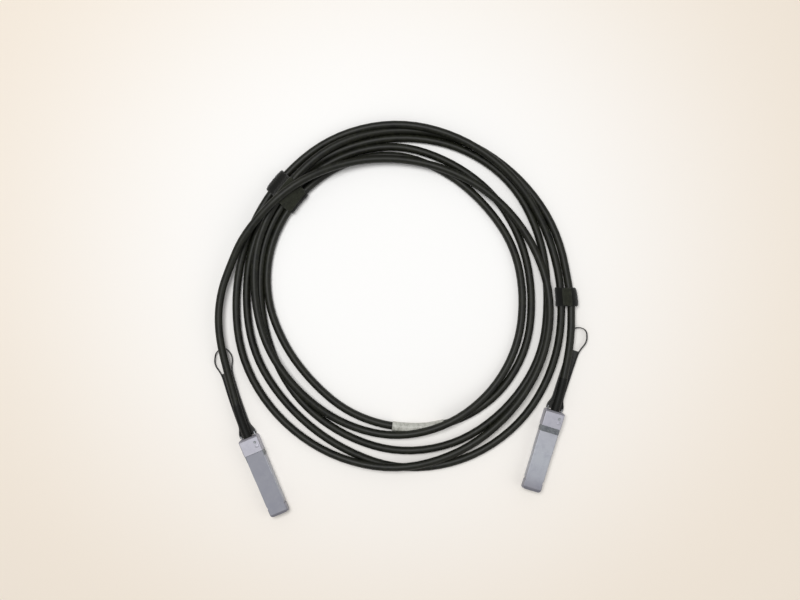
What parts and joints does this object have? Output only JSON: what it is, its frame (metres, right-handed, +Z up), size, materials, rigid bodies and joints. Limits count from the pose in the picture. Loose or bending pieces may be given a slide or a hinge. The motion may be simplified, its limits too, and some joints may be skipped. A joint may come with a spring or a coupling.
{
  "type": "direct attach cable",
  "caption": "Direct attach copper cable lying in a loose coil held by hook-and-loop ties, with a metal pluggable connector, a latch and a pull ribbon at each end.",
  "frame": {"origin": "middle of the two plugs and their ribbons, on the surface the cable lies on", "axes": "+Z up from that surface, +X from the first plug to the second, +Y from the plugs towards the coil's middle"},
  "size_m": [0.2685, 0.2794, 0.0163],
  "materials": {
    "shell_metal": "satin die-cast metal",
    "collar_metal": "satin spring sheet",
    "latch_metal": "stamped sheet",
    "ribbon": "thin flexible pull",
    "sleeve": "shrunk tube",
    "jacket": "satin cable jacket",
    "braid": "crimped ring",
    "pair_film": "wrapped wire pair",
    "board": "printed board",
    "pad_gold": "plated pads",
    "chip": "moulded package",
    "label_film": "plain label",
    "hook_strap": "hook and loop strap",
    "wrap_film": "printed wrap, left bare"
  },
  "bodies": {
    "base": {"housing_bottom_a": "shell_metal", "housing_top_a": "shell_metal", "emi_collar_a": "collar_metal", "latch_cover_a": "latch_metal", "lever_pin_a": "latch_metal", "return_spring_a": "latch_metal", "strain_relief_a": "sleeve", "cable_end_a": "jacket", "cable_ferrule_a": "braid", "wire_pairs_a": "pair_film", "paddle_card_a": "board", "contact_pads_a": "pad_gold", "card_parts_a": "chip", "housing_bottom_b": "shell_metal", "housing_top_b": "shell_metal", "emi_collar_b": "collar_metal", "latch_cover_b": "latch_metal", "lever_pin_b": "latch_metal", "return_spring_b": "latch_metal", "strain_relief_b": "sleeve", "cable_end_b": "jacket", "cable_ferrule_b": "braid", "wire_pairs_b": "pair_film", "paddle_card_b": "board", "contact_pads_b": "pad_gold", "card_parts_b": "chip", "plug_label_a": "label_film", "coil": "jacket", "tail_a": "jacket", "tail_b": "jacket", "tie_left": "hook_strap", "tie_right": "hook_strap", "cable_label": "wrap_film"},
    "slider_a": {"latch_slider_a": "latch_metal", "pull_ribbon_a": "ribbon", "ribbon_rivets_a": "latch_metal"},
    "lever_a": {"latch_lever_a": "latch_metal"},
    "slider_b": {"latch_slider_b": "latch_metal", "pull_ribbon_b": "ribbon", "ribbon_rivets_b": "latch_metal"},
    "lever_b": {"latch_lever_b": "latch_metal"}
  },
  "joints": [
    {"name": "release_a", "type": "slide", "parent": "base", "child": "slider_a", "axis": [-0.3891, 0.9212, 0], "range_m": [0, 0.002], "stiffness_N_per_m": 400, "springref_m": -0.001, "deforming": ["return_spring_a"]},
    {"name": "latch_a", "type": "hinge", "parent": "base", "child": "lever_a", "pos_m": [-0.09985, -0.03279, 0.0013], "axis": [0.9212, 0.3891, 0], "range_deg": [0, 4.1]},
    {"name": "release_b", "type": "slide", "parent": "base", "child": "slider_b", "axis": [0.2924, 0.9563, 0], "range_m": [0, 0.002], "stiffness_N_per_m": 400, "springref_m": -0.001, "deforming": ["return_spring_b"]},
    {"name": "latch_b", "type": "hinge", "parent": "base", "child": "lever_b", "pos_m": [0.10418, -0.01449, 0.0013], "axis": [0.9563, -0.2924, 0], "range_deg": [0, 4.1]}
  ],
  "couplings": [
    {"joint": "latch_a", "follows": "release_a", "rad_per_m": 35},
    {"joint": "latch_b", "follows": "release_b", "rad_per_m": 35}
  ]
}
